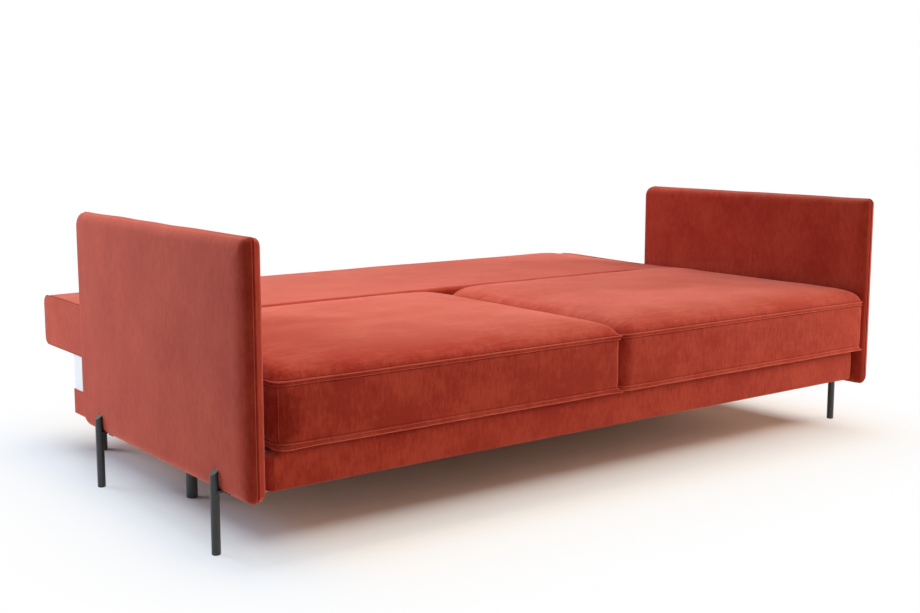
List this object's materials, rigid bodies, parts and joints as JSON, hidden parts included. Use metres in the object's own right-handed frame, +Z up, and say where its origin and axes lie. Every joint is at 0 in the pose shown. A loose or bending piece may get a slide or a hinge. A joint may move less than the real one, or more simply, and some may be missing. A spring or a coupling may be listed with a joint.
{
  "type": "sofa bed",
  "caption": "Click clack sofa bed lying open: boxed velvet cushions and a flat-folding back between two padded panel arms on round steel legs, over a bedding box.",
  "frame": {"origin": "on the floor, under the middle of the opened bed's footprint", "axes": "+X runs along the sofa to its right arm as seen from the front, -Y is the front and +Z is up"},
  "size_m": [2.106, 1.33, 0.69],
  "materials": {
    "velvet": "matte",
    "rear_cloth": "matte",
    "plywood": "matte",
    "white_laminate": "satin",
    "black_steel": "satin",
    "zinc_steel": "satin",
    "spring_steel": "gloss"
  },
  "bodies": {
    "base": {"arm_pad_left": "velvet", "arm_pad_right": "velvet", "arm_board_left": "plywood", "arm_board_right": "plywood", "arm_leg_front_left": "black_steel", "arm_leg_front_right": "black_steel", "arm_leg_rear_left": "black_steel", "arm_leg_rear_right": "black_steel", "box_side_left": "white_laminate", "box_side_right": "white_laminate", "box_band_left": "velvet", "box_band_right": "velvet", "box_leg_middle_left": "black_steel", "box_leg_middle_right": "black_steel", "box_leg_rear_left": "black_steel", "box_leg_rear_right": "black_steel", "mechanism_plate_left": "zinc_steel", "mechanism_plate_right": "zinc_steel", "seat_pin_left": "zinc_steel", "seat_pin_right": "zinc_steel", "back_pin_left": "zinc_steel", "back_pin_right": "zinc_steel", "pawl_pin_left": "zinc_steel", "pawl_pin_right": "zinc_steel", "pawl_spring_left": "spring_steel", "pawl_spring_right": "spring_steel", "box_band_rear": "velvet", "box_front": "white_laminate", "box_rear": "white_laminate", "box_floor": "white_laminate", "box_bearer_middle": "plywood", "box_bearer_rear": "plywood", "front_rail_pad": "velvet", "front_rail_board": "plywood"},
    "seat": {"seat_cushion_left": "velvet", "seat_cushion_right": "velvet", "seat_front_tube": "black_steel", "seat_rear_tube": "black_steel", "seat_middle_tube": "black_steel", "seat_side_tube_left": "black_steel", "seat_side_tube_right": "black_steel", "seat_deck_left": "plywood", "seat_deck_right": "plywood", "seat_link_left": "zinc_steel", "seat_link_right": "zinc_steel"},
    "back": {"back_pad": "velvet", "back_front_tube": "black_steel", "back_rear_tube": "black_steel", "back_middle_tube": "black_steel", "back_side_tube_left": "black_steel", "back_side_tube_right": "black_steel", "back_deck_left": "plywood", "back_deck_right": "plywood", "back_link_left": "zinc_steel", "back_link_right": "zinc_steel", "back_panel": "rear_cloth"},
    "pawl_left": {"pawl_left": "zinc_steel"},
    "pawl_right": {"pawl_right": "zinc_steel"}
  },
  "joints": [
    {"name": "back_fold", "type": "hinge", "parent": "base", "child": "back", "pos_m": [0, 0.134, 0.386], "axis": [1, 0, 0], "range_deg": [0, 75]},
    {"name": "seat_lift", "type": "hinge", "parent": "base", "child": "seat", "pos_m": [0, 0.043, 0.366], "axis": [-1, 0, 0], "range_deg": [0, 45]},
    {"name": "pawl_left_release", "type": "hinge", "parent": "base", "child": "pawl_left", "pos_m": [-0.9375, 0.156, 0.336], "axis": [1, 0, 0], "range_deg": [0, 12]},
    {"name": "pawl_right_release", "type": "hinge", "parent": "base", "child": "pawl_right", "pos_m": [0.9375, 0.156, 0.336], "axis": [1, 0, 0], "range_deg": [0, 12]}
  ],
  "couplings": [
    {"joint": "pawl_left_release", "follows": "seat_lift", "ratio": 0.266},
    {"joint": "pawl_right_release", "follows": "seat_lift", "ratio": 0.266}
  ]
}
